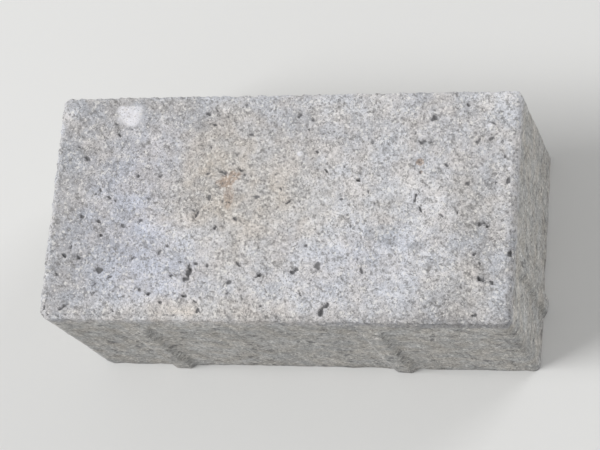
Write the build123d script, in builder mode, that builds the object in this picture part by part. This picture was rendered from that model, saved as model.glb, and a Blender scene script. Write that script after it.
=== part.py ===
"""Rectangular concrete paving stone, one solid, in millimetres.

A vibrated concrete block for laying in running bond. Its wearing face is flat, with a
shallow bevel round it and eased arrises. The sides are upright, with rounded corners in
plan, and carry spacer nibs that keep the sand joint open. The bed face is flat.

X runs along the stone, +Y is its far long side and -Y its near one, and +Z is up.
The origin is the middle of the bed face.
"""

import os

from build123d import *

# laying grid, from the middle of one joint to the middle of the next
laying_length = 200.0
laying_width = 100.0
joint_width = 2.5
thickness = 80.0

# bevel round the wearing face, and the rounding of its two edges
bevel_width = 2.2
bevel_drop = 1.0
crease_radius = 3.0
arris_radius = 1.0

# radii of the upright corners in plan: the two on the left are the more worn
far_left_radius = 4.0
far_right_radius = 3.0
near_right_radius = 3.4
near_left_radius = 5.0

# spacer nibs: they meet the next stone's side, less a little play for laying
laying_play = 0.5
nib_crest_width = 6.0
nib_flank_run = 2.5
nib_shoulder_run = 7.0
nib_below_face = 12.0
nib_edge_radius = 1.5

# places of the nibs, from the middle of each side, so that the nibs of two stones laid
# side by side, in line or half a length apart, never meet
long_side_nib_outer = 60.0
long_side_nib_inner = 40.0
short_side_nib = 20.0

# chips out of the worn arris: the rounding of their bottom, how far each one bites in,
# and its distance from the middle of its side
chip_radius = 7.0
right_chip_bite = 1.1
right_chip_offset = 6.0
near_chip_bite = 0.8
near_chip_offset = 23.0

half_length = (laying_length - joint_width) / 2
half_width = (laying_width - joint_width) / 2
nib_projection = joint_width - laying_play
nib_height = thickness - nib_below_face


def side_plane(x, y, outward):
    """A plane at the foot of a side: X along the side, Y up it and Z away from it."""
    along = Vector(0, 0, 1).cross(Vector(*outward))
    return Plane(origin=(x, y, 0), x_dir=along, z_dir=outward)


nib_planes = [
    side_plane(-long_side_nib_outer, -half_width, (0, -1, 0)),
    side_plane(long_side_nib_inner, -half_width, (0, -1, 0)),
    side_plane(long_side_nib_outer, half_width, (0, 1, 0)),
    side_plane(-long_side_nib_inner, half_width, (0, 1, 0)),
    side_plane(-half_length, short_side_nib, (-1, 0, 0)),
    side_plane(half_length, -short_side_nib, (1, 0, 0)),
]

corner_radii = {
    (-half_length, half_width): far_left_radius,
    (half_length, half_width): far_right_radius,
    (half_length, -half_width): near_right_radius,
    (-half_length, -half_width): near_left_radius,
}

chip_centres = [
    (half_length + chip_radius - right_chip_bite, -right_chip_offset, thickness),
    (near_chip_offset, -half_width - chip_radius + near_chip_bite, thickness),
]

# one nib, lying on its back: Y is up the side, and Z is out of it
with BuildPart() as nib:
    with BuildSketch() as foot:
        Rectangle(
            nib_crest_width + 2 * nib_flank_run,
            nib_height,
            align=(Align.CENTER, Align.MIN),
        )
    with BuildSketch(Plane.XY.offset(nib_projection)) as crest:
        Rectangle(
            nib_crest_width,
            nib_height - nib_shoulder_run,
            align=(Align.CENTER, Align.MIN),
        )
    loft()
    crest_edges = nib.faces().sort_by(Axis.Z)[-1].edges().sort_by(Axis.Y)
    fillet(crest_edges[1:], nib_edge_radius)

with BuildPart() as paving_stone:
    # the block as it leaves the mould
    with BuildSketch() as outline:
        Rectangle(2 * half_length, 2 * half_width)
    extrude(amount=thickness)

    # upright corners, each with its own wear
    for (x, y), radius in corner_radii.items():
        uprights = paving_stone.edges().filter_by(Axis.Z)
        fillet(uprights.sort_by_distance((x, y, thickness / 2))[0], radius)

    # bevel round the wearing face, then its inner and outer edges eased
    wearing_face = paving_stone.faces().sort_by(Axis.Z)[-1]
    chamfer(wearing_face.edges(), bevel_width, bevel_drop, reference=wearing_face)
    fillet(paving_stone.faces().sort_by(Axis.Z)[-1].edges(), crease_radius)
    arris_height = thickness - bevel_drop
    arris = paving_stone.edges().filter_by_position(Axis.Z, arris_height, arris_height)
    fillet(arris, arris_radius)

    # chips out of the right and near arrises
    with Locations(*chip_centres):
        Sphere(chip_radius, mode=Mode.SUBTRACT)

    # spacer nibs up the sides
    with Locations(*nib_planes):
        add(nib.part)

paving_stone.part.label = "paving_stone"

os.makedirs("parts", exist_ok=True)
export_step(paving_stone.part, "parts/paving_stone.step")
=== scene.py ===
"""Looks of the concrete paving stone: its grained, pitted and weathered surface, and a plain stage.

Every length is in metres in the stone's own frame: X along it, +Y to its far long side and
Z up from its bed face. Values that are easier to read in millimetres are multiplied by MM. The
tables of pits, chips and stains, and the material, are in millimetres.
"""

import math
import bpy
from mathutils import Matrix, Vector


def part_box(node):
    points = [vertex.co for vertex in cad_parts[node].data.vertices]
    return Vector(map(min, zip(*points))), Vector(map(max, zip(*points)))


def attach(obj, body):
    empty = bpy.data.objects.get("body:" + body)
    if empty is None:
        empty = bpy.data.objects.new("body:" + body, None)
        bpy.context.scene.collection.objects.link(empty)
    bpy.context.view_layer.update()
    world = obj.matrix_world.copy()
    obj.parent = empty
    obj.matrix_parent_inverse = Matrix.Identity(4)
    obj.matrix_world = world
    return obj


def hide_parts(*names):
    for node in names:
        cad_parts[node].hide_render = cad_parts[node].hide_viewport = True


bl_info = {
    "name": "Concrete Paving Stone",
    "version": (1, 0, 0),
    "blender": (4, 5, 0),
    "location": "View3D > Sidebar > Paving Stone",
    "description": "Dresses a concrete paving stone with worn arrises, pores, sand grain and weathering",
    "category": "Object",
}

from typing import NamedTuple

import bmesh
import bpy
import numpy as np
from mathutils import Matrix, Vector, noise

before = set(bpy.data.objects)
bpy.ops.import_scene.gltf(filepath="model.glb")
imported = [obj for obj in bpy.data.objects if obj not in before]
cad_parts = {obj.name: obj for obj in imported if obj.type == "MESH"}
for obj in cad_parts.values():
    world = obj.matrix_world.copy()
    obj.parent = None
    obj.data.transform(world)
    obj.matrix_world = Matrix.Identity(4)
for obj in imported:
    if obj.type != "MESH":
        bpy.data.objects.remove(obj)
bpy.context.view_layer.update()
BOX_LOW, BOX_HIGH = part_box("paving_stone")

MM = 0.001

# The bake map, in parts of its side: map lengths for a metre of stone, and the gap between pieces
MAP_TOP_SCALE = 4.9 / 1.024
MAP_SIDE_SCALE = 2.37 / 1.024
MAP_GAP = 12 / 1024

# A face lies in a side when it looks this squarely out of it and is this near to it, and a point
# this near to a cut is on it
SQUARE_ON = 0.999
IN_PLANE = 0.01 * MM
ON_CUT = 0.001 * MM

# Flats of the roundings of the upright corners, the arris and the nibs
CORNER_FLATS = 5
ARRIS_FLATS = 3
NIB_FLATS = 2

# The mesh is finest down to the first depth below the wearing face and fine down to the second, and
# up to this height it is the bed's
FINEST_ABOVE = 1.5 * MM
FINE_ABOVE = 6 * MM
BED_EDGE = 0.1 * MM

# Wave lengths of the noises that shape the surface: the drag lines are drawn out up the sides
FINE_WAVE = 1.3 * MM
SWELL_WAVE = 38 * MM
RAGGED_WAVE = 1.1 * MM
CRUMB_WAVE = 2.6 * MM
DRAG_WAVES = (2.4 * MM, 2.4 * MM, 22 * MM)
OPEN_GRAIN_WAVE = 4.5 * MM
WARP_WAVE = 1.7 * MM

# How far the outlines of pores, pits and the crease are bent, and how frayed pits and chips are
PORE_WARP = 0.5 * MM
PIT_WARP = 0.9 * MM
CREASE_WARP = 0.8 * MM
PIT_FRAY = 0.4
CHIP_FRAY = 0.08

# A pit slopes from its rim to its floor, in parts of its half size, and is painted fully dark with dirt
# and shade at this depth
PIT_RIM = 1.15
PIT_FLOOR = 0.3
BLACK_PIT = 0.9 * MM

# What turns a pore's centre into its random draws, how unevenly pores are spread, and their range
# of sizes in parts of the largest
PICK_STRIDE = 7.31
PICK_SHIFT = (3.1, 8.7, 5.3)
SIZE_STRIDE = 11.7
CROWD_STRIDE = 0.13
CROWDING = 0.12
LEAST_SIZE = 0.35
SIZE_RANGE = 0.7

# The crease's width, how far inside the arris the painted highlight on the bevel starts and is full, and
# how far below the wearing face the holes start and are full
CREASE_WIDTH = 0.5 * MM
HIGHLIGHT_FROM = 3.4 * MM
HIGHLIGHT_TO = 1.4 * MM
HOLES_FROM = 4 * MM
HOLES_TO = 10 * MM

# Depths of a chip at which its fresh concrete starts to show, and shows in full
FRESH_FROM = 0.02 * MM
FRESH_TO = 0.35 * MM

# In millimetres: the wearing face's height, and how far below it the weathering thins out and ends
FACE_HEIGHT = BOX_HIGH.z / MM
WEATHER_THINS = 1
WEATHER_ENDS = 9

# Stains below the small size have crisp edges. Edges are in parts of a stain's half size, and every
# stain reaches deep enough to cover the bevel too.
SMALL_STAIN = 8
SMALL_EDGE = (1.2, 0.75)
BROAD_EDGE = (1.5, 0.1)
STAIN_DEPTH = 200

# The stage: the places of the lamps, the camera's aim, the gap between the floor and the stone, and
# how near to the stone the floor lets light through
SOFT_LAMP_PLACE = (-2.3, -0.7, 2.6)
FILL_LAMP_PLACE = (2.4, 2.4, 1.6)
AIM = Vector((3 * MM, 0, BOX_HIGH.z - 27 * MM))
FLOOR_GAP = 0.1 * MM
TOUCHING = 5 * MM


class Pit(NamedTuple):
    """A hole in the wearing face: its middle, its length, width and depth in millimetres, and its
    turn in degrees from the stone's length."""

    x: float
    y: float
    length: float
    width: float
    turn: float
    depth: float


class Chip(NamedTuple):
    """A ball-shaped bite out of the arris: its centre and radius in millimetres."""

    x: float
    y: float
    above_face: float
    radius: float


class Stain(NamedTuple):
    """A weathered patch on the wearing face, or painted shade along its near edge: its middle, its half
    length and half width in millimetres, its turn in degrees, the name of its colour and its strength."""

    x: float
    y: float
    length: float
    width: float
    turn: float
    colour: str
    strength: float


class Pores(NamedTuple):
    """Random round pores: the cell that holds at most one, the share of cells that hold one, and
    the largest radius."""

    cell: float
    share: float
    largest: float


class Waves(NamedTuple):
    """A smooth noise of the material: its waves in a millimetre, its octaves and its roughness."""

    scale: float
    octaves: float
    roughness: float


class Pick(NamedTuple):
    """Grains that a pattern picks out: where in it they start and are full, their strength and the
    name of their colour."""

    pattern: str
    start: float
    full: float
    strength: float
    colour: str


FACE_PORES = Pores(3.2 * MM, 0.47, 0.9 * MM)
SIDE_HOLES = Pores(6.5 * MM, 0.62, 2.4 * MM)

PITS = (
    Pit(-34.6, -27.9, 5.4, 2.0, 82, 1.6),
    Pit(-35.6, -31.0, 3.2, 2.6, 40, 1.3),
    Pit(22.4, -44.6, 4.0, 2.6, 72, 1.7),
    Pit(24.2, -41.8, 3.6, 2.0, 50, 1.4),
    Pit(10.0, -27.4, 3.7, 2.7, 15, 1.3),
    Pit(19.5, -25.4, 4.4, 4.3, 0, 0.8),
    Pit(-4.5, -29.4, 2.9, 2.2, 30, 1.8),
    Pit(-73.9, -27.5, 4.0, 3.2, 150, 1.2),
    Pit(-17.0, -32.2, 2.6, 2.2, 0, 0.9),
    Pit(-24.7, 14.8, 2.4, 1.6, 20, 1.1),
    Pit(-23.0, 14.3, 2.1, 1.8, 0, 0.9),
    Pit(-16.2, 15.6, 2.8, 1.6, 150, 0.9),
    Pit(-14.8, 13.5, 1.7, 1.4, 0, 0.6),
    Pit(-20.4, 1.4, 1.5, 1.9, 0, 0.9),
    Pit(-33.4, -3.4, 4.8, 1.7, 60, 1.1),
    Pit(-24.9, -9.2, 2.4, 2.1, 0, 1.4),
    Pit(-17.1, -5.3, 3.7, 1.6, 120, 0.9),
    Pit(-84.4, 21.1, 3.8, 2.3, 150, 1.1),
    Pit(-88.8, 26.0, 1.9, 1.4, 0, 0.9),
    Pit(-72.8, 4.1, 2.6, 1.8, 150, 0.9),
    Pit(-83.9, -4.5, 2.9, 1.7, 130, 0.9),
    Pit(-83.5, -22.1, 3.7, 2.0, 155, 1.3),
    Pit(-90.3, -21.1, 2.9, 1.8, 160, 1.1),
    Pit(-50.8, -37.4, 1.7, 1.3, 0, 1.4),
    Pit(-94.6, -46.8, 2.4, 1.5, 150, 1.1),
    Pit(-96.6, -44.0, 2.2, 1.6, 60, 1.0),
    Pit(5.3, 1.7, 3.8, 1.9, 35, 1.2),
    Pit(33.7, 10.9, 2.2, 2.2, 0, 1.8),
    Pit(63.7, 36.9, 3.4, 2.4, 10, 1.4),
    Pit(58.8, 26.7, 3.8, 2.0, 5, 1.0),
    Pit(57.5, 2.8, 4.9, 1.8, 70, 1.1),
    Pit(60.2, -1.7, 3.2, 1.2, 120, 0.9),
    Pit(84.7, -7.7, 3.2, 2.2, 30, 1.2),
    Pit(87.6, -8.7, 2.4, 1.4, 160, 1.1),
    Pit(78.3, 9.3, 3.0, 1.9, 20, 0.9),
    Pit(74.8, 11.4, 2.0, 1.4, 60, 0.5),
    Pit(90.0, 9.6, 1.8, 1.2, 0, 0.7),
    Pit(76.0, 0.6, 2.2, 1.3, 140, 0.6),
    Pit(83.0, -20.0, 1.7, 1.3, 0, 0.9),
    Pit(85.8, -30.1, 3.1, 2.8, 0, 1.8),
    Pit(90.3, -31.6, 2.0, 1.8, 0, 1.2),
    Pit(97.8, -19.8, 4.5, 2.9, 10, 1.3),
    Pit(84.4, -44.8, 2.9, 1.9, 20, 1.2),
    Pit(-88.0, -43.5, 5.8, 1.9, 37, 1.2),
    Pit(-35.8, -38.2, 1.9, 1.5, 0, 1.6),
    Pit(-13.8, -24.6, 4.7, 1.7, 134, 0.9),
    Pit(-29.3, -44.2, 2.7, 2.2, 57, 1.1),
    Pit(-45.8, -41.0, 2.7, 1.8, 90, 1.1),
    Pit(76.9, 42.8, 2.5, 1.9, 0, 1.0),
    Pit(81.8, 27.0, 3.6, 1.8, 50, 0.8),
    Pit(87.1, 28.0, 3.7, 1.9, 40, 0.9),
    Pit(-8.6, 4.0, 4.0, 2.0, 175, 0.8),
    Pit(-13.1, 30.8, 2.6, 1.5, 160, 0.8),
    Pit(-75.3, -33.8, 1.9, 1.4, 46, 0.8),
    Pit(-28.9, 3.7, 3.2, 1.9, 88, 0.7),
    Pit(37.8, -27.0, 3.5, 1.9, 98, 0.8),
    Pit(-32.8, 40.1, 2.6, 2.0, 162, 1.1),
    Pit(6.6, 38.5, 3.2, 2.0, 48, 0.9),
    Pit(-68.9, -30.3, 3.0, 1.9, 20, 0.8),
    Pit(62.7, 27.2, 3.2, 1.2, 103, 0.6),
    Pit(-74.5, -12.5, 2.4, 2.1, 130, 1.1),
    Pit(-48.2, -20.0, 4.2, 1.9, 72, 0.7),
    Pit(-65.4, -8.1, 3.5, 2.0, 168, 0.8),
    Pit(13.2, -37.1, 2.1, 1.5, 117, 0.9),
    Pit(69.3, 17.2, 3.5, 2.0, 150, 0.9),
    Pit(-59.3, -22.2, 2.5, 1.7, 0, 0.8),
    Pit(-29.2, 35.1, 2.3, 1.8, 13, 1.0),
    Pit(-76.3, -6.5, 2.1, 1.8, 79, 1.1),
    Pit(94.9, 10.2, 3.0, 2.3, 88, 1.0),
    Pit(-60.8, 13.6, 2.7, 2.1, 35, 1.1),
    Pit(-17.2, -36.8, 2.0, 1.5, 54, 0.7),
    Pit(-74.7, -37.0, 2.0, 1.3, 42, 0.7),
    Pit(-73.1, 36.1, 2.6, 1.0, 124, 0.6),
    Pit(-70.9, 31.3, 3.0, 1.5, 130, 0.9),
    Pit(-65.7, 33.9, 1.3, 1.1, 0, 0.8),
    Pit(58.7, 18.3, 1.9, 1.7, 0, 0.6),
    Pit(-72.2, 33.8, 2.0, 1.0, 108, 0.6),
    Pit(-69.8, 35.5, 2.0, 1.2, 130, 0.5),
    Pit(-35.4, -1.7, 1.8, 1.5, 0, 0.8),
    Pit(-32.0, -24.5, 2.8, 1.8, 160, 0.9),
    Pit(-38.4, -23.8, 1.8, 1.5, 63, 0.7),
    Pit(68.7, -4.2, 3.1, 1.6, 138, 0.7),
    Pit(58.9, 13.9, 3.4, 1.7, 40, 0.8),
    Pit(-26.9, -25.5, 2.2, 1.8, 83, 0.8),
    Pit(38.5, 27.2, 4.2, 1.6, 29, 0.6),
    Pit(12.7, 36.8, 2.4, 1.7, 133, 0.8),
    Pit(1.4, 7.0, 2.5, 1.6, 147, 0.8),
    Pit(-65.9, -44.7, 1.8, 1.4, 167, 0.9),
    Pit(-55.3, 3.5, 2.7, 1.6, 173, 0.6),
    Pit(85.1, -23.7, 2.7, 1.6, 115, 0.8),
    Pit(60.3, -39.9, 1.7, 1.5, 31, 0.7),
    Pit(-45.2, -17.0, 2.0, 1.4, 126, 0.7),
    Pit(-76.9, 7.1, 2.2, 1.6, 123, 0.8),
    Pit(13.9, -17.0, 2.1, 1.9, 174, 1.1),
    Pit(-30.4, 13.9, 1.8, 1.2, 175, 0.7),
    Pit(20.2, 14.7, 2.4, 1.8, 120, 1.0),
    Pit(-69.7, 2.4, 1.9, 1.6, 141, 0.9),
    Pit(-29.9, 25.7, 2.0, 1.6, 102, 1.0),
    Pit(92.8, 20.6, 1.8, 1.6, 146, 0.9),
    Pit(-30.6, -40.6, 2.2, 1.2, 121, 0.7),
    Pit(27.5, 16.7, 1.8, 1.5, 0, 0.7),
    Pit(-92.7, -29.6, 2.0, 1.5, 131, 0.8),
    Pit(-87.4, -17.6, 2.1, 1.8, 141, 1.0),
    Pit(-34.7, -25.0, 2.4, 1.6, 80, 1.2),
    Pit(-51.8, -13.8, 2.2, 1.6, 43, 0.6),
    Pit(-3.1, -42.2, 2.0, 1.4, 14, 0.8),
    Pit(87.6, 34.5, 4.0, 1.4, 142, 0.6),
    Pit(-58.0, -6.1, 1.8, 1.7, 0, 0.8),
    Pit(-42.1, -29.7, 1.7, 1.5, 82, 1.0),
    Pit(38.1, 5.5, 4.0, 1.2, 130, 0.7),
    Pit(-85.7, -41.9, 3.0, 1.3, 120, 0.5),
    Pit(56.1, 30.6, 2.8, 1.5, 58, 0.7),
    Pit(92.1, 26.7, 2.0, 1.4, 120, 0.8),
    Pit(36.0, -22.3, 1.7, 1.5, 115, 0.8),
    Pit(-61.3, -14.8, 2.6, 1.5, 160, 0.6),
    Pit(-55.2, -35.5, 1.6, 1.5, 121, 0.9),
    Pit(74.6, -2.6, 1.7, 1.4, 130, 0.9),
    Pit(65.9, -22.5, 2.1, 1.4, 0, 0.7),
    Pit(27.3, 2.8, 2.2, 1.4, 174, 0.7),
    Pit(11.2, 32.5, 1.6, 1.5, 118, 0.9),
    Pit(15.6, 23.1, 1.5, 1.4, 137, 0.9),
    Pit(-51.0, 13.2, 1.7, 1.5, 176, 0.8),
)

# The first two are the solid's own, and the others are too small for it
CHIPS = (
    Chip(104.65, -6.0, 0.0, 7.0),
    Chip(23.0, -54.95, 0.0, 7.0),
    Chip(100.0, -21.0, 0.6, 2.4),
    Chip(100.2, 26.0, 0.4, 2.2),
    Chip(99.6, -37.5, 1.0, 2.2),
    Chip(-100.4, -48.9, 0.6, 4.2),
    Chip(-100.0, 3.0, 0.8, 2.2),
    Chip(-99.8, -30.0, 0.9, 2.0),
    Chip(-99.4, 49.9, 0.8, 3.0),
    Chip(-52.0, -50.0, 0.6, 2.2),
    Chip(66.0, -50.2, 0.4, 2.4),
    Chip(-8.0, 50.1, 0.6, 2.2),
    Chip(-62.0, 50.2, 0.4, 2.4),
    Chip(99.6, 49.4, 1.0, 2.4),
)

# Grime and soot bands along the near edge are painted shade on the near bevel and along the arris, and
# grime bands along the other edges make those edges darker
STAINS = (
    Stain(-100.0, 0.0, 26.0, 90.0, 0, "grime", 0.95),
    Stain(-80.0, 50.0, 56.0, 18.0, -6, "grime", 0.80),
    Stain(-10.0, 51.0, 90.0, 13.0, 0, "grime", 0.45),
    Stain(95.0, -17.0, 24.0, 50.0, 0, "grime", 0.80),
    Stain(76.0, -52.0, 70.0, 11.0, 0, "grime", 1.00),
    Stain(82.0, -50.6, 44.0, 4.4, 0, "soot", 0.80),
    Stain(28.0, -50.8, 30.0, 3.6, 0, "soot", 0.45),
    Stain(-40.0, -52.0, 60.0, 8.0, 0, "grime", 0.30),
    Stain(80.0, 0.0, 11.0, 15.0, 10, "brown", 0.80),
    Stain(78.0, -32.0, 12.0, 14.0, 0, "brown", 0.75),
    Stain(-28.0, 26.0, 16.0, 18.0, 20, "brown", 0.35),
    Stain(40.0, -12.0, 60.0, 34.0, 8, "bloom", 0.60),
    Stain(28.0, -30.0, 26.0, 13.0, 10, "bloom", 0.55),
    Stain(83.0, 45.0, 16.0, 5.0, 0, "bloom", 1.00),
    Stain(94.0, 10.0, 4.6, 60.0, 0, "bloom", 0.36),
    Stain(87.0, 37.0, 12.0, 10.0, 0, "bloom", 0.55),
    Stain(30.0, 43.0, 20.0, 8.0, 0, "bloom", 0.85),
    Stain(45.0, 26.0, 9.0, 8.0, 0, "bloom", 0.50),
    Stain(60.0, -25.0, 18.0, 9.0, 0, "bloom", 0.75),
    Stain(-94.0, 43.0, 4.0, 9.0, 0, "bloom", 0.55),
    Stain(-63.0, -38.0, 16.0, 11.0, 0, "bloom", 0.80),
    Stain(-65.0, -17.0, 14.0, 9.0, 0, "grime", 0.60),
    Stain(-84.0, -25.0, 13.0, 7.0, 0, "grime", 0.45),
    Stain(45.0, -1.0, 9.0, 11.0, 0, "brown", 0.40),
    Stain(-24.0, 44.0, 10.0, 6.0, 0, "bloom", 0.55),
    Stain(-27.0, -40.0, 22.0, 9.0, 0, "bloom", 0.50),
    Stain(88.0, -38.0, 8.0, 13.0, 0, "bloom", 0.40),
    Stain(10.0, 4.0, 13.0, 8.0, 0, "brown", 0.35),
    Stain(2.0, 36.0, 11.0, 7.0, 0, "grime", 0.40),
    Stain(-87.0, -42.0, 11.0, 7.0, 0, "grime", 0.35),
    Stain(5.0, -15.0, 8.0, 8.0, 0, "haze", 0.35),
    Stain(79.0, -8.0, 10.0, 12.0, 0, "grime", 0.45),
    Stain(-43.0, -10.0, 12.0, 11.0, 30, "bloom", 0.60),
    Stain(-58.0, 19.0, 22.0, 16.0, 20, "haze", 0.54),
    Stain(-58.0, -10.0, 30.0, 26.0, -20, "haze", 0.55),
    Stain(-56.0, -34.0, 30.0, 12.0, 0, "haze", 0.45),
    Stain(38.0, -24.0, 34.0, 16.0, 10, "haze", 0.42),
    Stain(-17.0, 6.0, 38.0, 26.0, -20, "ochre", 0.42),
    Stain(-34.0, 2.0, 16.0, 13.0, 0, "ochre", 0.30),
    Stain(-35.0, -45.0, 42.0, 6.0, 0, "ochre", 0.35),
    Stain(-20.9, 11.6, 4.8, 3.3, 20, "rust", 0.56),
    Stain(-20.6, 4.5, 2.0, 5.4, 0, "rust", 0.32),
    Stain(-22.6, 13.6, 2.2, 1.2, 10, "soot", 0.50),
    Stain(58.8, 18.2, 1.7, 1.3, 0, "rust", 0.60),
    Stain(56.0, 9.0, 8.5, 3.5, 30, "bloom", 0.60),
    Stain(59.3, 14.0, 0.8, 0.7, 0, "rust", 0.45),
    Stain(-72.0, 33.9, 4.2, 0.9, 120, "soot", 0.40),
    Stain(44.0, -11.2, 6.6, 3.2, 5, "slate", 0.60),
    Stain(59.3, -17.7, 3.4, 2.4, 0, "slate", 0.40),
    Stain(-67.3, 40.1, 5.5, 4.4, 0, "deposit", 0.90),
    Stain(-71.0, 42.4, 2.3, 2.0, 0, "deposit", 0.60),
    Stain(-64.0, 42.4, 2.6, 2.2, 0, "deposit", 0.60),
    Stain(-66.2, 36.6, 2.8, 1.8, 0, "deposit", 0.60),
    Stain(8.3, 22.3, 1.4, 1.1, 0, "deposit", 0.85),
    Stain(86.4, 33.6, 1.0, 0.8, 0, "deposit", 0.85),
    Stain(90.2, 26.5, 0.7, 0.6, 0, "deposit", 0.80),
    Stain(95.2, 15.2, 0.8, 0.7, 0, "deposit", 0.80),
    Stain(74.3, 38.6, 0.7, 0.5, 0, "deposit", 0.70),
)

# The material's noises, and the grains a millimetre of its two sizes of sand and of its stones
NOISES = {
    "broad": Waves(0.035, 3.0, 0.5),
    "hue": Waves(0.12, 3.0, 0.5),
    "mottle": Waves(0.16, 4.0, 0.62),
    "speckle": Waves(0.9, 3.0, 0.65),
    "fine": Waves(2.4, 2.0, 0.6),
}
GRAINS = {"grain": 1.0, "small_grain": 2.4, "stones": 0.19}

# Dark flecks, drawn out along a slant, and the streaks that the mould leaves up the sides
FLECK_WAVES = Waves(0.62, 3.0, 0.6)
FLECK_SLANT = math.radians(-46)
FLECK_STRETCH = (1.8, 1.0, 1.0)
STREAK_WAVES = Waves(0.45, 3.0, 0.6)
STREAK_STRETCH = (1.0, 1.0, 0.07)

# Open voids of the raw sides: their cells a millimetre, how far and in what waves they are bent,
# the largest one's reach in cells, how small most of them are, and how soft their edges are
VOID_CELLS = 0.27
VOID_WARP = 5.0
VOID_WARP_WAVES = Waves(0.6, 3.0, 0.5)
VOID_REACH = 0.55
VOID_SMALLNESS = 4.0
VOID_FRAY = {"speckle": 0.3}
VOID_EDGE = 0.14

# How much each pattern sways a tone or an outline
FACE_TONE = {
    "grain": 0.32,
    "small_grain": 0.40,
    "speckle": 0.74,
    "flecks": 0.33,
    "mottle": 0.84,
    "broad": 0.36,
}
RAW_TONE = {"streaks": 0.5, "stones": 0.22}
STAIN_FRAY = {"mottle": 1.6, "speckle": 0.9}
DEPOSIT_FRAY = {"grain": 0.35, "small_grain": 0.25}
HOLLOW_FRAY = {"fine": 0.5, "small_grain": 0.2}
RAW_RELIEF = {"streaks": 1.6, "stones": 0.3}

# The face's tone where every pattern is at its middle, and its hue where it is coolest and warmest
FACE_LEVEL = 1.005
COOL_HUE = (0.975, 1.0, 1.03)
WARM_HUE = (1.025, 1.0, 0.965)

# Single grains and flecks, in the order in which they are laid over the skin
PICKS = (
    Pick("grain", 0.90, 0.96, 0.46, "pale_sand"),
    Pick("grain", 0.10, 0.05, 0.41, "dark_sand"),
    Pick("small_grain", 0.92, 0.97, 0.48, "pale_sand"),
    Pick("small_grain", 0.11, 0.05, 0.54, "dark_sand"),
    Pick("clear_flecks", 0.42, 0.29, 0.62, "dark_sand"),
)


def number(name, description, default, unit="NONE"):
    """A number that a user can change."""
    return bpy.props.FloatProperty(name=name, description=description, default=default, unit=unit)


def metres(name, description, default):
    """A length that a user can change."""
    return number(name, description, default, "LENGTH")


def colour(name, description, default):
    """A colour that a user can change."""
    return bpy.props.FloatVectorProperty(
        name=name, description=description, default=default, size=3, subtype="COLOR"
    )


class StoneShape(bpy.types.PropertyGroup):
    """Sizes of the stone's solid, as it is built."""

    body_length: metres("Body length", "Length without the nibs", 197.5 * MM)
    body_width: metres("Body width", "Width without the nibs", 97.5 * MM)
    bevel_width: metres("Bevel width", "Bevel round the wearing face", 2.2 * MM)
    bevel_drop: metres("Bevel drop", "How far the bevel falls", 1.0 * MM)
    arris_ease: metres("Arris ease", "Cut back by the arris's rounding", 0.64 * MM)
    far_left_radius: metres("Far left radius", "Rounding of this corner", 4.0 * MM)
    far_right_radius: metres("Far right radius", "Rounding of this corner", 3.0 * MM)
    near_right_radius: metres("Near right radius", "Rounding of this corner", 3.4 * MM)
    near_left_radius: metres("Near left radius", "Rounding of this corner", 5.0 * MM)
    nib_crest: metres("Nib crest", "Width of a nib's crest", 6.0 * MM)
    nib_flank: metres("Nib flank", "Run of each flank of a nib", 2.5 * MM)
    nib_shoulder: metres("Nib shoulder", "Height of a nib's sloping top", 7.0 * MM)
    nib_below_face: metres("Nib below face", "From the wearing face to the nibs", 12.0 * MM)
    nib_ease: metres("Nib ease", "Cut back by the nib's rounding", 0.5 * MM)
    nib_outer: metres("Outer nibs", "From the middle of a long side", 60.0 * MM)
    nib_inner: metres("Inner nibs", "From the middle of a long side", 40.0 * MM)
    nib_short: metres("End nibs", "From the middle of a short side", 20.0 * MM)


class StoneRelief(bpy.types.PropertyGroup):
    """Fineness of the mesh, and depths of the rough surface."""

    coarse_cell: metres("Coarse cell", "Spacing of the first cuts", 8.23 * MM)
    face_cell: metres("Face cell", "Longest edge on the wearing face", 0.56 * MM)
    rim_cell: metres("Rim cell", "Longest edge just below the arris", 1.2 * MM)
    side_cell: metres("Side cell", "Longest edge on the sides", 2.3 * MM)
    bed_cell: metres("Bed cell", "Longest edge on the bed face", 4.4 * MM)
    swell_depth: metres("Swell depth", "Broad unevenness of a face", 0.25 * MM)
    grain_depth: metres("Grain depth", "Sand grain of the wearing face", 0.16 * MM)
    side_depth: metres("Side depth", "Open grain and drag lines of the sides", 0.45 * MM)
    pore_depth: metres("Pore depth", "Depth of the small pores", 0.75 * MM)
    hole_depth: metres("Hole depth", "Depth of the holes in the sides and the bed", 1.3 * MM)
    wear_depth: metres("Wear depth", "Crumbled sand along the arris", 0.7 * MM)
    wear_reach: metres("Wear reach", "How far from the arris the wear goes", 1.6 * MM)
    crease_depth: metres("Crease depth", "Broken line inside the bevel", 0.22 * MM)


class StoneColours(bpy.types.PropertyGroup):
    """Colours of the concrete, its sand and its weathering."""

    cement: colour("Cement", "Weathered cement skin", (0.527, 0.518, 0.53))
    pale_sand: colour("Pale sand", "Light grains", (0.80, 0.78, 0.74))
    dark_sand: colour("Dark sand", "Dark grains", (0.20, 0.195, 0.19))
    core: colour("Core", "Concrete of the sides and the bed", (0.44, 0.43, 0.415))
    # Pore is dirt and painted shade at the bottom of pores, pits, holes and voids
    hollow_dirt_and_shade: colour("Pore", "Bottom of pores and pits", (0.15, 0.15, 0.155))
    ochre: colour("Ochre", "Yellowish stain", (0.548, 0.478, 0.383))
    rust: colour("Rust", "Rusty spots", (0.38, 0.25, 0.165))
    haze: colour("Haze", "Bluish grey film", (0.471, 0.491, 0.576))
    bloom: colour("Bloom", "Lime bloom", (0.671, 0.669, 0.688))
    deposit: colour("Deposit", "White lime deposit", (0.785, 0.78, 0.82))
    brown: colour("Brown", "Brownish patches", (0.42, 0.395, 0.37))
    # Grime is grey dirt, and painted shade on the near bevel
    grime: colour("Grime", "Grey dirt along the edges", (0.363, 0.363, 0.379))
    slate: colour("Slate", "Blue grey stains", (0.38, 0.40, 0.44))
    # Soot is dark trails, and painted shade along the near arris
    soot: colour("Soot", "Dark trails", (0.15, 0.15, 0.16))


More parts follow.
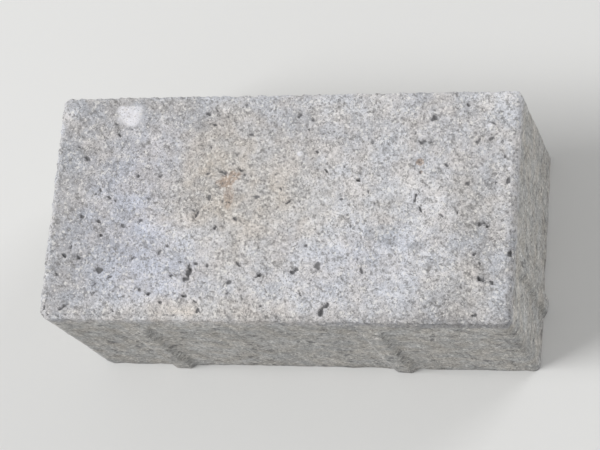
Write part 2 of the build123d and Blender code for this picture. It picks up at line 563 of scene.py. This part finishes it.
class StageSettings(bpy.types.PropertyGroup):
    """Floor, lamps and camera."""

    azimuth: number("Azimuth", "Camera's angle round the stone", math.radians(44), "ROTATION")
    elevation: number("Elevation", "Camera's angle above the floor", math.radians(67), "ROTATION")
    distance: metres("Distance", "From the camera to the stone", 0.85)
    lens: number("Lens", "Focal length in millimetres", 122.0, "CAMERA")
    floor_size: metres("Floor", "Side of the floor", 6.0)
    floor_colour: colour("Floor colour", "Plain pale floor", (0.74, 0.74, 0.73))
    sky_colour: colour("Sky colour", "Light from all round", (1.0, 1.0, 1.0))
    sky_strength: number("Sky strength", "Strength of the light from all round", 0.42)
    lamp_power: number("Lamp power", "Power of the soft lamp", 86.0, "POWER")
    fill_power: number("Fill power", "Power of the lamp behind", 42.0, "POWER")
    lamp_size: metres("Lamp size", "Side of each soft lamp", 1.6)


class Link:
    """A socket in a material's nodes. Arithmetic on it adds Math or Vector Math nodes."""

    def __init__(self, graph, socket):
        self.graph = graph
        self.socket = socket

    def maths(self, operation, *pair):
        """Adds a Math node, or a Vector Math node where a vector or a colour is in the pair."""
        kind = "ShaderNodeMath"
        if any(isinstance(v, Link) and v.socket.type in ("VECTOR", "RGBA") for v in pair):
            kind = "ShaderNodeVectorMath"
            pair = [v if isinstance(v, (Link, tuple)) else (v,) * 3 for v in pair]
        return self.graph.node(kind, {"operation": operation}, dict(enumerate(pair)))

    def __add__(self, other):
        return self.maths("ADD", self, other)

    def __radd__(self, other):
        return self.maths("ADD", other, self)

    def __sub__(self, other):
        return self.maths("SUBTRACT", self, other)

    def __rsub__(self, other):
        return self.maths("SUBTRACT", other, self)

    def __mul__(self, other):
        return self.maths("MULTIPLY", self, other)

    def __rmul__(self, other):
        return self.maths("MULTIPLY", other, self)

    def __pow__(self, other):
        return self.maths("POWER", self, other)

    def over(self, low, high):
        """0 at and below low, 1 at and above high, and a smooth step between them."""
        settings = {"interpolation_type": "SMOOTHSTEP", "clamp": True}
        sockets = {"Value": self, "From Min": low, "From Max": high}
        if low > high:
            sockets.update({"From Min": high, "From Max": low, "To Min": 1.0, "To Max": 0.0})
        return self.graph.node("ShaderNodeMapRange", settings, sockets)


class Graph:
    """The nodes of one material, or of the world."""

    MIX_A, MIX_B, MIX_RESULT = 6, 7, 2

    def __init__(self, owner):
        owner.use_nodes = True
        self.tree = owner.node_tree
        self.tree.nodes.clear()

    def node(self, kind, settings=None, sockets=None, output=0):
        """Adds a node, sets it, feeds its sockets with values or links, and returns one output."""
        made = self.tree.nodes.new(kind)
        for name, value in (settings or {}).items():
            setattr(made, name, value)
        for name, value in (sockets or {}).items():
            if isinstance(value, Link):
                self.tree.links.new(value.socket, made.inputs[name])
            else:
                made.inputs[name].default_value = value
        return Link(self, made.outputs[output]) if made.outputs else made

    def mix(self, factor, first, second):
        """The first colour where factor is 0, and the second where it is 1."""
        first, second = (v if isinstance(v, Link) else (*v, 1.0) for v in (first, second))
        sockets = {0: factor, self.MIX_A: first, self.MIX_B: second}
        return self.node("ShaderNodeMix", {"data_type": "RGBA"}, sockets, self.MIX_RESULT)

    def noise(self, place, waves, output=0):
        """Smooth noise from 0 to 1, or a colour of three."""
        sockets = {"Vector": place, "Scale": waves.scale, "Detail": waves.octaves}
        sockets["Roughness"] = waves.roughness
        return self.node("ShaderNodeTexNoise", {}, sockets, output)

    def cells(self, place, scale, output):
        """The distance to the nearest cell's centre, or its position. Scale is in cells a millimetre."""
        sockets = {"Vector": place, "Scale": scale, "Randomness": 1.0}
        return self.node("ShaderNodeTexVoronoi", {"feature": "F1"}, sockets, output)

    def draws(self, place, scale):
        """A number from 0 to 1 for each cell."""
        centre = self.cells(place, scale, "Position")
        return self.node("ShaderNodeTexWhiteNoise", {}, {"Vector": centre}, "Value")

    def kept(self, name):
        """A value that is kept for each point of the mesh."""
        return self.node("ShaderNodeAttribute", {"attribute_name": name}, {}, "Fac")


def middle_of(element):
    """The mean of the corners of an edge or a face."""
    return sum((v.co for v in element.verts), Vector()) / len(element.verts)


def cut_faces(bm, faces, point, normal):
    """Cuts some of the faces by a plane. Each element is given once, and always in the same order."""
    geometry = dict.fromkeys(g for f in faces for g in (f, *f.edges, *f.verts))
    bmesh.ops.bisect_plane(bm, geom=list(geometry), dist=ON_CUT, plane_co=point, plane_no=normal)


def round_edges(bm, edges, cut_back, flats):
    """Rounds edges with some flats, cut back as far as given on each side."""
    bmesh.ops.bevel(
        bm, geom=edges, offset=cut_back, offset_type="OFFSET", segments=flats, profile=0.5,
        affect="EDGES", material=-1,
    )


def round_corner(bm, x, y, radius):
    """Rounds the upright edge nearest to a plan place."""
    place = Vector((x, y, BOX_HIGH.z / 2))
    upright = min(bm.edges, key=lambda e: (middle_of(e) - place).length)
    round_edges(bm, [upright], radius, CORNER_FLATS)


def bevel_face(bm, shape):
    """Makes the bevel round the wearing face, and eases its outer edge."""
    top = max(bm.faces, key=lambda f: middle_of(f).z)
    ring = bmesh.ops.inset_region(
        bm, faces=[top], thickness=shape.bevel_width, use_even_offset=True
    )["faces"]
    rim = {v for f in ring for v in f.verts} - set(top.verts)
    bmesh.ops.translate(bm, vec=(0, 0, -shape.bevel_drop), verts=list(rim))
    arris = [e for f in ring for e in f.edges if rim.issuperset(e.verts)]
    round_edges(bm, arris, shape.arris_ease, ARRIS_FLATS)


def wall_faces(bm, outward, reach):
    """The faces that lie in one side of the body."""
    facing = [f for f in bm.faces if f.normal.dot(outward) > SQUARE_ON]
    return [f for f in facing if abs(middle_of(f).dot(outward) - reach) < IN_PLANE]


def add_nib(bm, shape, outward, reach, place):
    """Raises a spacer nib from one side: place is its distance along the side."""
    along = Vector((abs(outward.y), abs(outward.x), 0))
    half = shape.nib_crest / 2 + shape.nib_flank
    height = BOX_HIGH.z - shape.nib_below_face
    foot = outward * reach + along * place
    cuts = ((foot - along * half, along), (foot + along * half, along), ((0, 0, height), (0, 0, 1)))
    for point, normal in cuts:
        cut_faces(bm, wall_faces(bm, outward, reach), point, normal)
    inside = [
        f
        for f in wall_faces(bm, outward, reach)
        if abs(middle_of(f).dot(along) - place) < half and middle_of(f).z < height
    ]
    crest = bmesh.ops.extrude_discrete_faces(bm, faces=inside)["faces"][0]
    projection = BOX_HIGH.dot(Vector((abs(outward.x), abs(outward.y), 0))) - reach
    bmesh.ops.translate(bm, vec=outward * projection, verts=crest.verts)
    narrowing = shape.nib_crest / (2 * half)
    lowering = (height - shape.nib_shoulder) / height
    bmesh.ops.scale(
        bm,
        vec=(narrowing if along.x else 1, narrowing if along.y else 1, lowering),
        space=Matrix.Translation(-foot),
        verts=crest.verts,
    )
    eased = [e for e in crest.edges if middle_of(e).z > MM]
    round_edges(bm, eased, shape.nib_ease, NIB_FLATS)


def cut_fine(bm, relief):
    """Cuts the block by evenly spaced planes, then halves every edge that is too long for its place."""
    for axis in range(3):
        size = BOX_HIGH[axis] - BOX_LOW[axis]
        cells = max(2, round(size / relief.coarse_cell))
        for k in range(1, cells):
            point, normal = Vector(), Vector()
            point[axis] = BOX_LOW[axis] + size * k / cells
            normal[axis] = 1
            cut_faces(bm, bm.faces, point, normal)
    bmesh.ops.triangulate(bm, faces=[f for f in bm.faces if len(f.verts) > 4])

    def too_long(edge):
        z = middle_of(edge).z
        depth = BOX_HIGH.z - z
        if depth < FINEST_ABOVE:
            longest = relief.face_cell
        elif depth < FINE_ABOVE:
            longest = relief.rim_cell
        elif z > BED_EDGE:
            longest = relief.side_cell
        else:
            longest = relief.bed_cell
        return edge.calc_length() > longest

    while edges := [e for e in bm.edges if too_long(e)]:
        bmesh.ops.subdivide_edges(bm, edges=edges, cuts=1, use_grid_fill=True)


def list_by_place(bm):
    """Lists the points and the faces by place, because bevels and cuts don't keep one order."""
    for rank, point in enumerate(sorted(bm.verts, key=lambda v: v.co[:])):
        point.index = rank
    bm.verts.sort()
    for rank, face in enumerate(sorted(bm.faces, key=lambda f: sorted(v.index for v in f.verts))):
        face.index = rank
    bm.faces.sort()


def add_bake_map(bm):
    """Lays the six sides flat beside each other, with the wearing face twice as large as the rest."""
    layer = bm.loops.layers.uv.new("OFBake")
    half_length, half_width = BOX_HIGH.x, BOX_HIGH.y
    side_top = MAP_GAP + MAP_TOP_SCALE * 2 * half_width + MAP_GAP
    bed_top = side_top + MAP_SIDE_SCALE * BOX_HIGH.z + MAP_GAP
    long_side = MAP_SIDE_SCALE * 2 * half_length + MAP_GAP
    short_side = MAP_SIDE_SCALE * 2 * half_width + MAP_GAP
    for face in bm.faces:
        x, y, z = face.normal
        flat = max(abs(x), abs(y)) <= abs(z)
        end = abs(x) > abs(y)
        for loop in face.loops:
            px, py, pz = loop.vert.co
            left, bottom, scale = MAP_GAP, bed_top, MAP_SIDE_SCALE
            if flat:
                u, v = px + half_length, py + half_width
                if z > 0:
                    bottom, scale = MAP_GAP, MAP_TOP_SCALE
            elif end:
                u, v = py + half_width, pz
                left += long_side + (short_side if x > 0 else 0)
            else:
                u, v = px + half_length, pz
                left += long_side if y > 0 else 0
                bottom = side_top
            loop[layer].uv = (left + u * scale, bottom + v * scale)


def fractal_noise(places, waves, fade, step, octaves):
    """Noise of several octaves at many places. Its waves have one length, or one along each axis."""
    return np.array([noise.fractal(Vector(p), fade, step, octaves) for p in places / np.array(waves)])


def plain_noise(places, wave, shift=(0, 0, 0)):
    """Smooth noise at many places, of another pattern for each shift."""
    return np.array([noise.noise(Vector(p) + Vector(shift)) for p in places / wave])


def smooth_step(values, low, high):
    """0 at and below low, 1 at and above high, and a smooth step between them."""
    t = np.clip((values - low) / (high - low), 0, 1)
    return t * t * (3 - 2 * t)


def plan_distance(places, shape):
    """How far inside the upright sides each place is, and the way out in plan."""
    half = np.array([shape.body_length / 2, shape.body_width / 2])
    left, far = places[:, 0] < 0, places[:, 1] > 0
    radius = np.where(
        left,
        np.where(far, shape.far_left_radius, shape.near_left_radius),
        np.where(far, shape.far_right_radius, shape.near_right_radius),
    )
    past = np.abs(places[:, :2]) - (half - radius[:, None])
    corner = np.maximum(past, 0)
    distance = radius - np.linalg.norm(corner, axis=1) - np.minimum(past.max(axis=1), 0)
    way = np.where((past > 0).any(axis=1)[:, None], corner, (past == past.max(axis=1)[:, None]) * 1.0)
    way = way / np.maximum(np.linalg.norm(way, axis=1), 1e-9)[:, None] * np.sign(places[:, :2])
    return distance, np.column_stack([way, np.zeros(len(places))])


def draw(centre, stride, shift=(0, 0, 0)):
    """A number from 0 to 1 that belongs to a cell's centre."""
    return 0.5 + 0.5 * noise.noise(centre * stride + Vector(shift))


def pore_field(places, pores):
    """Depth of round pores, which is 1 at the bottom of the largest."""
    depth = np.zeros(len(places))
    for i, place in enumerate(places / pores.cell):
        distances, centres = noise.voronoi(Vector(place))
        crowd = CROWDING * noise.noise(centres[0] * CROWD_STRIDE)
        if draw(centres[0], PICK_STRIDE, PICK_SHIFT) < pores.share + crowd:
            size = LEAST_SIZE + SIZE_RANGE * draw(centres[0], SIZE_STRIDE) ** 2
            near = distances[0] * pores.cell / (pores.largest * size)
            depth[i] = math.sqrt(max(0.0, 1 - near * near)) * size
    return depth


def pit_field(places, warp_x, warp_y, ragged):
    """Depth in metres of the pits named above, with ragged outlines."""
    depth = np.zeros(len(places))
    warped = places[:, :2] + np.column_stack([warp_x, warp_y]) * PIT_WARP
    for pit in PITS:
        turn = math.radians(pit.turn)
        offset = warped - np.array([pit.x, pit.y]) * MM
        along = offset @ np.array([math.cos(turn), math.sin(turn)]) / (pit.length / 2 * MM)
        across = offset @ np.array([-math.sin(turn), math.cos(turn)]) / (pit.width / 2 * MM)
        near = np.hypot(along, across) + PIT_FRAY * ragged
        depth = np.maximum(depth, smooth_step(-near, -PIT_RIM, -PIT_FLOOR) * pit.depth * MM)
    return depth


def bite(places, chip, ragged):
    """Pushes the places inside a chip's ball out to its surface."""
    centre = np.array([chip.x * MM, chip.y * MM, BOX_HIGH.z + chip.above_face * MM])
    offset = places - centre
    distance = np.linalg.norm(offset, axis=1)
    radius = chip.radius * MM * (1 + CHIP_FRAY * ragged)
    inside = distance < radius
    places[inside] = centre + offset[inside] * (radius[inside] / distance[inside])[:, None]


def point_vectors(mesh, name):
    """The place or the normal of each point of the mesh."""
    vectors = np.empty(len(mesh.vertices) * 3, np.float32)
    mesh.vertices.foreach_get(name, vectors)
    return vectors.reshape(-1, 3).astype(float)


def keep(mesh, name, values):
    """Keeps a value for each point of the mesh, which the material reads."""
    attribute = mesh.attributes.new(name, "FLOAT", "POINT")
    attribute.data.foreach_set("value", values.astype(np.float32))


def roughen(mesh, shape, relief):
    """Moves the points inwards by the stone's rough surface, and keeps where the material changes and
    where it paints shade in hollows and a highlight on the bevel.
    """
    places = point_vectors(mesh, "co")
    normals = point_vectors(mesh, "normal")

    inside, way_out = plan_distance(places, shape)
    below = BOX_HIGH.z - places[:, 2]
    bevel_fall = smooth_step(-inside, -shape.bevel_width, 0) * shape.bevel_drop
    to_arris = np.hypot(np.maximum(inside, 0), below - bevel_fall)
    top = smooth_step(normals[:, 2], 0.3, 0.8)
    side = smooth_step(np.hypot(normals[:, 0], normals[:, 1]), 0.3, 0.9)
    bed = smooth_step(-normals[:, 2], 0.3, 0.8)
    near_side = smooth_step(-way_out[:, 1], 0.2, 0.9)

    fine = fractal_noise(places, FINE_WAVE, fade=0.8, step=2.1, octaves=3)
    swell = fractal_noise(places, SWELL_WAVE, fade=1.0, step=2.0, octaves=2)
    crumb = fractal_noise(places, CRUMB_WAVE, fade=0.9, step=2.0, octaves=3)
    drag = fractal_noise(places, DRAG_WAVES, fade=0.9, step=2.0, octaves=3)
    open_grain = fractal_noise(places, OPEN_GRAIN_WAVE, fade=0.7, step=2.0, octaves=3)
    ragged = plain_noise(places, RAGGED_WAVE)
    warp_x = plain_noise(places, WARP_WAVE, (31, 0, 0))
    warp_y = plain_noise(places, WARP_WAVE, (0, 47, 0))

    # The hollows: pores and pits of the wearing face, holes of the sides and the bed, and the crease
    bent = places + np.column_stack([warp_x, warp_y, ragged]) * PORE_WARP
    pores = pore_field(bent, FACE_PORES) * top
    holes = pore_field(bent, SIDE_HOLES) * np.maximum(side, bed)
    holes *= smooth_step(below, HOLES_FROM, HOLES_TO)
    pits = pit_field(places, warp_x, warp_y, ragged) * top
    # The crease is a broken groove along the near bevel, which the material darkens with painted shade
    from_crease = inside - shape.bevel_width + CREASE_WARP * warp_x
    crease = np.exp(-((from_crease / CREASE_WIDTH) ** 2)) * smooth_step(crumb, -0.05, 0.35) * near_side

    depth = relief.swell_depth * (0.5 + 0.5 * swell) * (1 - 0.5 * side)
    depth += relief.grain_depth * np.clip(0.5 - 0.5 * fine, 0, 1.4) * np.maximum(top, 0.6)
    depth += relief.side_depth * np.clip(0.35 - 0.5 * drag - 0.45 * open_grain, 0, 1.3) * side
    depth += relief.side_depth * np.clip(0.4 - 0.9 * open_grain, 0, 1.4) * bed
    depth += relief.crease_depth * crease * top
    depth += relief.pore_depth * pores
    depth += relief.hole_depth * holes
    depth += pits

    # Near the arris the points also move outwards and down, so that it crumbles and isn't pinched
    wear = np.exp(-((to_arris / relief.wear_reach) ** 2))
    worn_way = normals + 1.5 * wear[:, None] * (way_out + np.array([0, 0, 1])) * (1 - bed)[:, None]
    worn_way /= np.linalg.norm(worn_way, axis=1)[:, None]
    depth += relief.wear_depth * wear * np.clip(0.35 - 0.9 * crumb, 0, 1.6)
    places = places - worn_way * depth[:, None]

    before = places.copy()
    for chip in CHIPS:
        bite(places, chip, crumb)
    chipped = np.linalg.norm(places - before, axis=1)

    # A painted highlight on the bevel, lightest on the left side that faces the soft lamp and faint on
    # the right
    lamp_facing = 0.55 - 0.45 * way_out[:, 0] + 0.1 * way_out[:, 1]
    rim = smooth_step(-inside, -HIGHLIGHT_FROM, -HIGHLIGHT_TO) * lamp_facing
    # Hollow marks where dirt and painted shade darken pores, pits and holes, and where painted shade
    # darkens the crease
    keep(mesh, "hollow", np.clip(pores * 1.1 + pits / BLACK_PIT + holes * 0.9 + 0.6 * crease * top, 0, 1))
    keep(mesh, "fresh", smooth_step(chipped, FRESH_FROM, FRESH_TO))
    keep(mesh, "rubbed", rim * top)
    mesh.vertices.foreach_set("co", places.astype(np.float32).ravel())
    mesh.update()


class PAVING_OT_stone(bpy.types.Operator):
    """Make the stone: its block, bevel and nibs, then its rough surface"""

    bl_idname = "paving.stone"
    bl_label = "Stone"

    def execute(self, context):
        shape = context.scene.stone_shape
        relief = context.scene.stone_relief
        half_length, half_width = shape.body_length / 2, shape.body_width / 2

        bm = bmesh.new()
        bmesh.ops.create_cube(bm, size=1.0)
        bmesh.ops.scale(bm, vec=(shape.body_length, shape.body_width, BOX_HIGH.z), verts=bm.verts)
        bmesh.ops.translate(bm, vec=(0, 0, BOX_HIGH.z / 2), verts=bm.verts)
        round_corner(bm, -half_length, half_width, shape.far_left_radius)
        round_corner(bm, half_length, half_width, shape.far_right_radius)
        round_corner(bm, half_length, -half_width, shape.near_right_radius)
        round_corner(bm, -half_length, -half_width, shape.near_left_radius)
        bevel_face(bm, shape)
        near, left = Vector((0, -1, 0)), Vector((-1, 0, 0))
        for outward, reach, place in (
            (near, half_width, -shape.nib_outer),
            (near, half_width, shape.nib_inner),
            (-near, half_width, shape.nib_outer),
            (-near, half_width, -shape.nib_inner),
            (left, half_length, shape.nib_short),
            (-left, half_length, -shape.nib_short),
        ):
            add_nib(bm, shape, outward, reach, place)
        cut_fine(bm, relief)
        list_by_place(bm)
        add_bake_map(bm)

        mesh = bpy.data.meshes.new("stone")
        bm.to_mesh(mesh)
        bm.free()
        mesh.shade_smooth()
        roughen(mesh, shape, relief)
        stone = bpy.data.objects.new("stone", mesh)
        context.scene.collection.objects.link(stone)
        mesh.materials.append(concrete(context.scene.stone_colours))
        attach(stone, "root")
        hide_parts("paving_stone")
        return {"FINISHED"}


def sway(start, weights, patterns):
    """Start plus how far each pattern is above its middle, times its weight."""
    for name, weight in weights.items():
        start = start + (patterns[name] - 0.5) * weight
    return start


def face_patterns(graph, place):
    """The patterns that colour and roughen the stone, each from 0 to 1."""
    patterns = {name: graph.noise(place, waves) for name, waves in NOISES.items()}
    patterns.update({name: graph.draws(place, scale) for name, scale in GRAINS.items()})
    slant = {"Vector": place, "Rotation": (0, 0, FLECK_SLANT), "Scale": FLECK_STRETCH}
    dashes = graph.node("ShaderNodeMapping", {"vector_type": "TEXTURE"}, slant)
    patterns["flecks"] = graph.noise(dashes, FLECK_WAVES)
    patterns["streaks"] = graph.noise(place * STREAK_STRETCH, STREAK_WAVES)
    return patterns


def open_voids(graph, place, patterns):
    """The holes between the coarse grains of the raw sides."""
    bent = place + graph.noise(place, VOID_WARP_WAVES, "Color") * VOID_WARP
    reach = graph.draws(bent, VOID_CELLS) ** VOID_SMALLNESS * VOID_REACH
    room = sway(reach, VOID_FRAY, patterns) - graph.cells(bent, VOID_CELLS, "Distance")
    return room.over(0.0, VOID_EDGE)


def patch(graph, place, fray, blotches, stain):
    """How strongly a stain covers each place: small ones have crisp ragged edges, and broad ones fade."""
    sockets = {
        "Vector": place,
        "Location": (stain.x, stain.y, FACE_HEIGHT),
        "Rotation": (0, 0, math.radians(stain.turn)),
        "Scale": (stain.length, stain.width, STAIN_DEPTH),
    }
    local = graph.node("ShaderNodeMapping", {"vector_type": "TEXTURE"}, sockets)
    spread = graph.node("ShaderNodeVectorMath", {"operation": "LENGTH"}, {0: local}, "Value")
    if max(stain.length, stain.width) < SMALL_STAIN:
        return (spread + fray).over(*SMALL_EDGE) * stain.strength
    return (spread + fray * 0.6).over(*BROAD_EDGE) * blotches * stain.strength


def concrete(colours):
    """Weathered concrete with sand grain, pores and the stains named above, painted shade in its
    hollows and along the near edge, and a painted highlight on the bevel.
    """
    material = bpy.data.materials.new("weathered_concrete")
    graph = Graph(material)
    place = graph.node("ShaderNodeTexCoord", {}, {}, "Object") * (1 / MM)
    height = graph.node("ShaderNodeSeparateXYZ", {}, {"Vector": place}, "Z")
    weathered = height.over(FACE_HEIGHT - WEATHER_ENDS, FACE_HEIGHT - WEATHER_THINS)
    raw = 1.0 - weathered
    patterns = face_patterns(graph, place)
    mottle, speckle, fine = patterns["mottle"], patterns["speckle"], patterns["fine"]
    grain, small_grain, flecks = patterns["grain"], patterns["small_grain"], patterns["flecks"]
    voids = open_voids(graph, place, patterns) * raw

    # The stains, some of which are painted shade along the near edge, lie under the grain, and the
    # deposit over it. Dirt and the painted edge shade hide the dark flecks.
    skin = graph.mix(weathered, tuple(colours.core), tuple(colours.cement))
    fray = sway(0.0, STAIN_FRAY, patterns)
    crisp_fray = sway(fray * 0.8, DEPOSIT_FRAY, patterns)
    blotches = mottle.over(0.22, 0.60) * 0.45 + patterns["broad"].over(0.25, 0.55) * 0.3 + 0.3
    dirt_and_edge_shade = 0.0
    crust = 0.0
    for stain in STAINS:
        if stain.colour == "deposit":
            crust = crust + patch(graph, place, crisp_fray, blotches, stain) * weathered
        else:
            cover = patch(graph, place, fray, blotches, stain) * weathered
            skin = graph.mix(cover, skin, tuple(getattr(colours, stain.colour)))
            if stain.colour in ("grime", "brown"):
                dirt_and_edge_shade = dirt_and_edge_shade + cover
    # Painted highlight on the bevel in the bloom's colour, lightest on the left side that faces the soft
    # lamp
    skin = graph.mix(graph.kept("rubbed") * 0.5, skin, tuple(colours.bloom))

    # The tone and the hue vary over the face, and single grains stand out
    skin = skin * (sway(1.0, RAW_TONE, patterns) * raw + weathered)
    skin = skin * sway(FACE_LEVEL, FACE_TONE, patterns)
    skin = skin * graph.mix(patterns["hue"].over(0.3, 0.7), COOL_HUE, WARM_HUE)
    patterns["clear_flecks"] = flecks - dirt_and_edge_shade * 0.04
    for pick in PICKS:
        share = patterns[pick.pattern].over(pick.start, pick.full) * pick.strength
        skin = graph.mix(share, skin, tuple(getattr(colours, pick.colour)))

    # Over the grain come the deposit, the chips' fresh concrete, and dirt with painted shade in voids and
    # hollows, with painted shade in the crease
    white = graph.mix(speckle.over(0.3, 0.6), skin * 1.6, tuple(colours.deposit))
    skin = graph.mix(crust, skin, white)
    skin = graph.mix(graph.kept("fresh") * 0.35, skin, tuple(colours.core))
    skin = graph.mix(voids.over(0.1, 0.9) * 0.6, skin, tuple(colours.hollow_dirt_and_shade))
    hollow = sway(graph.kept("hollow") * (1.0 - crust * 0.6), HOLLOW_FRAY, patterns)
    skin = graph.mix(hollow.over(0.22, 0.75) * 0.86, skin, tuple(colours.hollow_dirt_and_shade))

    relief = fine * 0.4 + speckle * 0.7 + small_grain * 0.3 + grain * 0.2 + flecks.over(0.25, 0.42) * 0.5
    relief = relief + sway(0.0, RAW_RELIEF, patterns) * raw - voids * 2.4 + crust * 0.8
    bump = graph.node("ShaderNodeBump", {}, {"Strength": 0.6, "Distance": 0.35 * MM, "Height": relief})
    rough = (speckle - 0.5) * 0.12 + 0.9
    sockets = {"Base Color": skin, "Roughness": rough, "Normal": bump, "Specular IOR Level": 0.25}
    surface = graph.node("ShaderNodeBsdfPrincipled", {}, sockets)
    graph.node("ShaderNodeOutputMaterial", {}, {"Surface": surface})
    return material


class PAVING_OT_stage(bpy.types.Operator):
    """Make the floor, the lamps, the light from all round and the camera"""

    bl_idname = "paving.stage"
    bl_label = "Stage"

    def execute(self, context):
        scene = context.scene
        stage = scene.stage_settings
        self.make_floor(scene, stage)
        self.make_sky(scene, stage)
        self.hang_lamp(scene, stage, "soft_lamp", SOFT_LAMP_PLACE, stage.lamp_power)
        self.hang_lamp(scene, stage, "fill_lamp", FILL_LAMP_PLACE, stage.fill_power)
        self.make_camera(scene, stage)
        scene.view_settings.view_transform = "Standard"
        return {"FINISHED"}

    def make_floor(self, scene, stage):
        """The floor lets light through from below, and close under the stone, so that no view is dark."""
        bm = bmesh.new()
        bmesh.ops.create_grid(bm, x_segments=1, y_segments=1, size=stage.floor_size / 2)
        bmesh.ops.translate(bm, vec=(0, 0, -FLOOR_GAP), verts=bm.verts)
        mesh = bpy.data.meshes.new("floor")
        bm.to_mesh(mesh)
        bm.free()
        floor = bpy.data.objects.new("floor", mesh)
        scene.collection.objects.link(floor)
        material = bpy.data.materials.new("pale_floor")
        graph = Graph(material)
        under = graph.node("ShaderNodeNewGeometry", {}, {}, "Backfacing")
        near = graph.node("ShaderNodeLightPath", {}, {}, "Ray Length").over(TOUCHING + MM, TOUCHING)
        open_to_light = (under + near).over(0.0, 1.0)
        paint = graph.node("ShaderNodeBsdfDiffuse", {}, {"Color": (*stage.floor_colour, 1)})
        clear = graph.node("ShaderNodeBsdfTransparent")
        surface = graph.node("ShaderNodeMixShader", {}, {0: open_to_light, 1: paint, 2: clear})
        graph.node("ShaderNodeOutputMaterial", {}, {"Surface": surface})
        mesh.materials.append(material)

    def make_sky(self, scene, stage):
        """Even light from all round, and the floor's colour where the background shows."""
        world = bpy.data.worlds.new("studio")
        scene.world = world
        graph = Graph(world)
        camera_ray = graph.node("ShaderNodeLightPath", {}, {}, "Is Camera Ray")
        glossy_ray = graph.node("ShaderNodeLightPath", {}, {}, "Is Glossy Ray")
        clear_ray = graph.node("ShaderNodeLightPath", {}, {}, "Is Transmission Ray")
        seen = (camera_ray + glossy_ray + clear_ray).over(0.0, 1.0)
        sockets = {"Color": (*stage.sky_colour, 1), "Strength": stage.sky_strength}
        light = graph.node("ShaderNodeBackground", {}, sockets)
        sockets = {"Color": (*stage.floor_colour, 1), "Strength": 1.0}
        backdrop = graph.node("ShaderNodeBackground", {}, sockets)
        surface = graph.node("ShaderNodeMixShader", {}, {0: seen, 1: light, 2: backdrop})
        graph.node("ShaderNodeOutputWorld", {}, {"Surface": surface})

    def hang_lamp(self, scene, stage, name, place, power):
        """A square soft lamp that faces the stone."""
        data = bpy.data.lights.new(name, "AREA")
        data.shape = "SQUARE"
        data.size = stage.lamp_size
        data.energy = power
        lamp = bpy.data.objects.new(name, data)
        scene.collection.objects.link(lamp)
        lamp.location = place
        lamp.rotation_mode = "QUATERNION"
        lamp.rotation_quaternion = lamp.location.to_track_quat("Z", "Y")

    def make_camera(self, scene, stage):
        """The camera looks at the middle of the stone, with the stone's length level."""
        flat = math.cos(stage.elevation)
        back = Vector(
            (math.sin(stage.azimuth) * flat, -math.cos(stage.azimuth) * flat, math.sin(stage.elevation))
        )
        right = (Vector((1, 0, 0)) - back * back.x).normalized()
        up = back.cross(right)
        camera = bpy.data.objects.new("camera", bpy.data.cameras.new("camera"))
        scene.collection.objects.link(camera)
        camera.data.lens = stage.lens
        turn = Matrix((right, up, back)).transposed().to_4x4()
        camera.matrix_world = Matrix.Translation(AIM + back * stage.distance) @ turn
        scene.camera = camera


class PAVING_PT_panel(bpy.types.Panel):
    """Lists the stone's and the stage's operators and their settings"""

    bl_idname = "PAVING_PT_panel"
    bl_label = "Paving Stone"
    bl_space_type = "VIEW_3D"
    bl_region_type = "UI"
    bl_category = "Paving Stone"

    def draw(self, context):
        for title, group, operator in (
            ("Shape", context.scene.stone_shape, None),
            ("Relief", context.scene.stone_relief, None),
            ("Colours", context.scene.stone_colours, PAVING_OT_stone.bl_idname),
            ("Stage", context.scene.stage_settings, PAVING_OT_stage.bl_idname),
        ):
            box = self.layout.box()
            box.label(text=title)
            for name in group.__annotations__:
                box.prop(group, name)
            if operator:
                box.operator(operator)


GROUPS = {
    "stone_shape": StoneShape,
    "stone_relief": StoneRelief,
    "stone_colours": StoneColours,
    "stage_settings": StageSettings,
}
CLASSES = (*GROUPS.values(), PAVING_OT_stone, PAVING_OT_stage, PAVING_PT_panel)


def register():
    for cls in CLASSES:
        bpy.utils.register_class(cls)
    for name, group in GROUPS.items():
        setattr(bpy.types.Scene, name, bpy.props.PointerProperty(type=group))


def unregister():
    for name in GROUPS:
        delattr(bpy.types.Scene, name)
    for cls in reversed(CLASSES):
        bpy.utils.unregister_class(cls)


def main():
    register()
    bpy.ops.paving.stone()
    bpy.ops.paving.stage()


if __name__ == "__main__":
    main()
